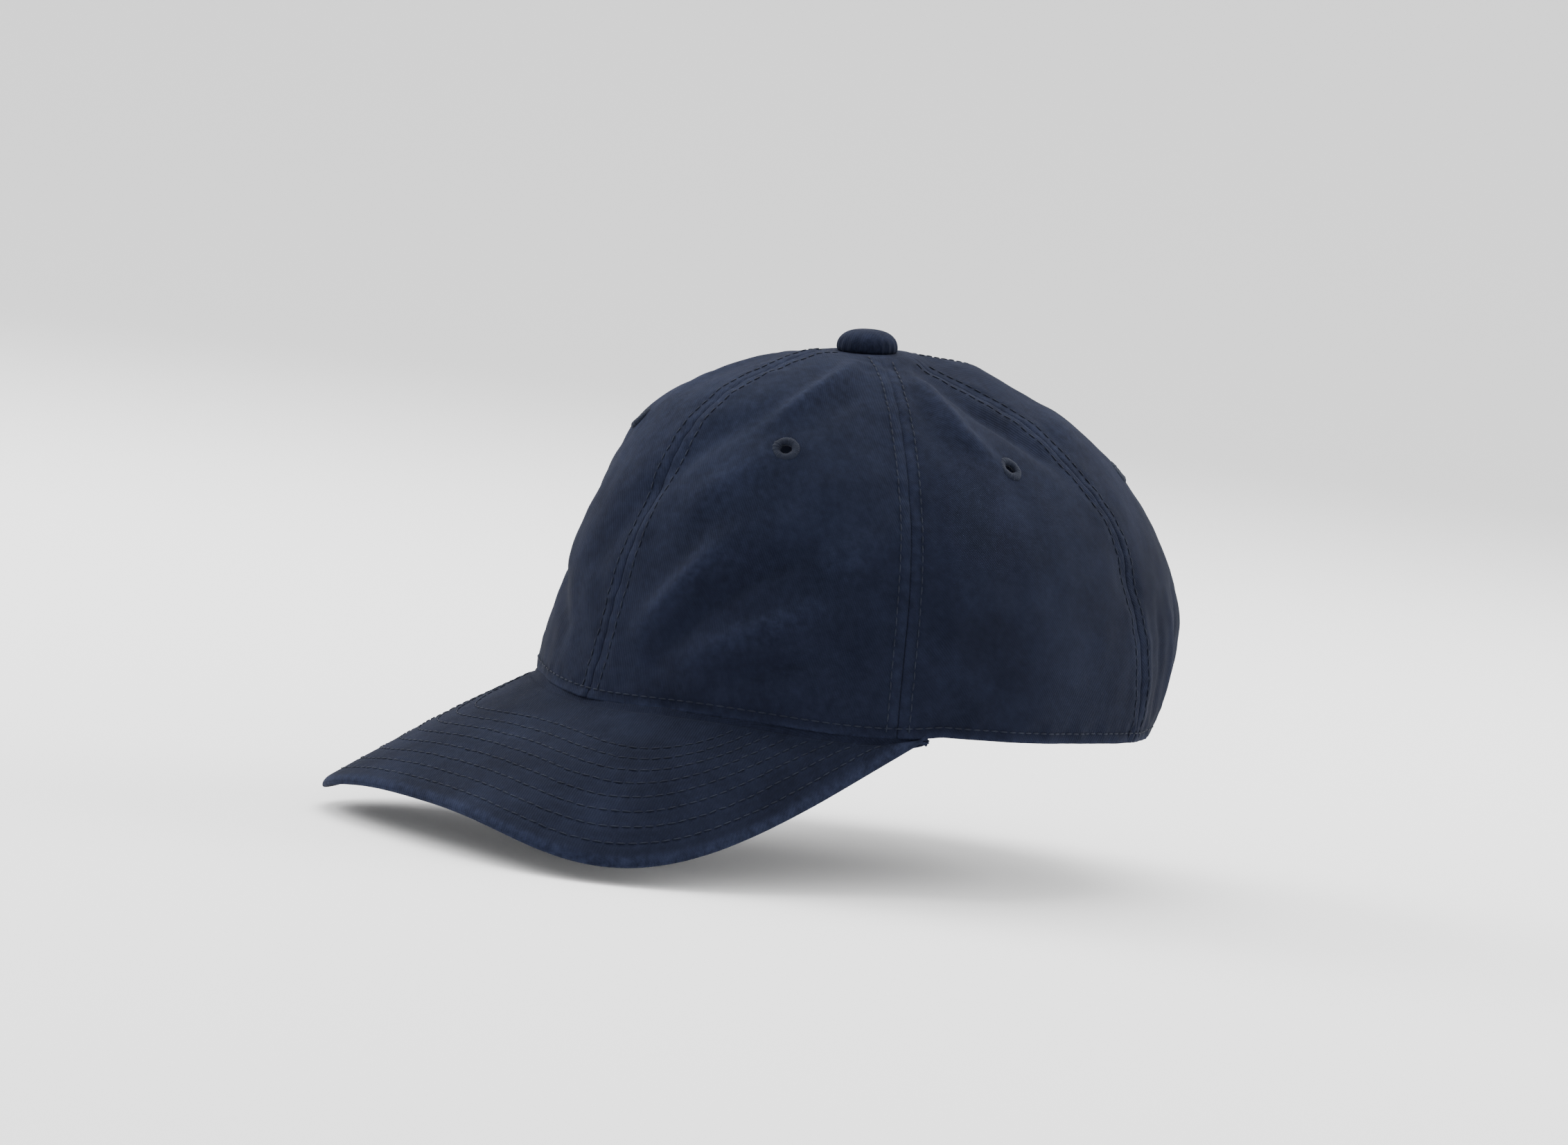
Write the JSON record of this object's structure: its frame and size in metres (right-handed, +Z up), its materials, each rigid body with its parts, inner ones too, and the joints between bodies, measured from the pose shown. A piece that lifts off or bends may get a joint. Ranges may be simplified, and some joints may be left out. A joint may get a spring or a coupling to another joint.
{
  "type": "baseball cap",
  "caption": "Soft unstructured baseball cap with sewn gores, a covered top button, sewn eyelets, a curved stitched bill and a strap with a clamp buckle at the back.",
  "frame": {"origin": "centre of the head opening, level with the crown's lower edge", "axes": "-Y forward over the bill, +X to the wearer's left, +Z up through the crown; the head enters along +Z, so the head opening faces -Z"},
  "size_m": [0.169, 0.2654, 0.1564],
  "materials": {
    "washed_twill": "washed navy cotton twill with faded edges",
    "seam_tape": "plain woven cotton tape",
    "sweatband_cotton": "brushed cotton",
    "label_satin": "blank satin",
    "bill_board": "moulded polyethylene",
    "button_blank": "plated",
    "eyelet_thread": "satin-stitched thread",
    "buckle_brass": "antique brass, satin"
  },
  "bodies": {
    "cap": {"front_panel_left": "washed_twill", "front_panel_right": "washed_twill", "side_panel_left": "washed_twill", "side_panel_right": "washed_twill", "rear_panel_left": "washed_twill", "rear_panel_right": "washed_twill", "seam_tape_front": "seam_tape", "seam_tape_back": "seam_tape", "seam_tape_front_left": "seam_tape", "seam_tape_front_right": "seam_tape", "seam_tape_rear_left": "seam_tape", "seam_tape_rear_right": "seam_tape", "sweatband": "sweatband_cotton", "opening_binding": "seam_tape", "inner_label": "label_satin", "bill_top_cover": "washed_twill", "bill_board": "bill_board", "bill_bottom_cover": "washed_twill", "button_shell": "button_blank", "button_cover": "washed_twill", "button_prong": "button_blank", "eyelet_front_left": "eyelet_thread", "eyelet_front_right": "eyelet_thread", "eyelet_side_left": "eyelet_thread", "eyelet_side_right": "eyelet_thread", "eyelet_rear_left": "eyelet_thread", "eyelet_rear_right": "eyelet_thread", "strap": "washed_twill", "buckle_tab": "washed_twill", "buckle_base": "buckle_brass", "buckle_pin": "buckle_brass"},
    "lever": {"buckle_lever": "buckle_brass"}
  },
  "joints": [
    {"name": "buckle_lever_hinge", "type": "hinge", "parent": "cap", "child": "lever", "pos_m": [-0.00932, 0.10461, 0.01261], "axis": [0.0634, -0.2584, -0.964], "range_deg": [0, 105]}
  ]
}
